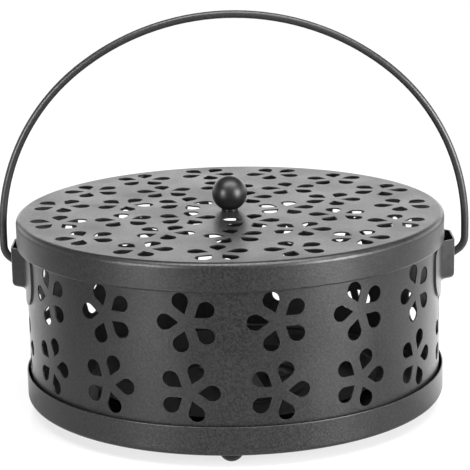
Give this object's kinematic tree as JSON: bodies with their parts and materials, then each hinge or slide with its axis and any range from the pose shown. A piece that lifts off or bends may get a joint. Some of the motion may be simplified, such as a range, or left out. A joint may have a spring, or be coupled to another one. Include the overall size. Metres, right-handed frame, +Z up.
{
  "type": "mosquito coil holder",
  "caption": "Round painted-metal box with flower-shaped vent holes in its lid and wall, a ball knob, small feet, a wire bail and an ash tray with a coil spike.",
  "frame": {"origin": "on the floor under the middle of the box, between the flats of its feet", "axes": "+Z up, +X through the right-hand ear, -Y towards the front foot"},
  "size_m": [0.1708, 0.155, 0.1434],
  "materials": {
    "box_paint": "satin dark grey paint",
    "bail_paint": "satin dark grey paint",
    "tray_paint": "matt black heat-proof paint",
    "knob_plastic": "gloss black",
    "foot_plastic": "gloss black",
    "screw_steel": "zinc plated",
    "stand_steel": "smoke-dulled zinc plate"
  },
  "bodies": {
    "box": {"base_pan": "box_paint", "wall_band": "box_paint", "ear_right": "box_paint", "ear_left": "box_paint", "foot_front": "foot_plastic", "foot_right": "foot_plastic", "foot_left": "foot_plastic", "foot_screws": "screw_steel"},
    "lid": {"lid_cap": "box_paint", "lid_knob": "knob_plastic", "knob_washer": "screw_steel", "knob_screw": "screw_steel"},
    "tray": {"ash_tray": "tray_paint", "coil_stand": "stand_steel", "coil_spike": "stand_steel", "stand_rivets": "stand_steel"},
    "bail": {"bail_handle": "bail_paint"}
  },
  "joints": [
    {"name": "bail_swing", "type": "hinge", "parent": "box", "child": "bail", "pos_m": [0, 0, 0.0534], "axis": [1, 0, 0], "range_deg": [-117, 117]},
    {"name": "lid_lift", "type": "slide", "parent": "box", "child": "lid", "axis": [0, 0, 1], "range_m": [0, 0.008]},
    {"name": "tray_lift", "type": "slide", "parent": "box", "child": "tray", "axis": [0, 0, 1], "range_m": [0, 0.04]}
  ]
}
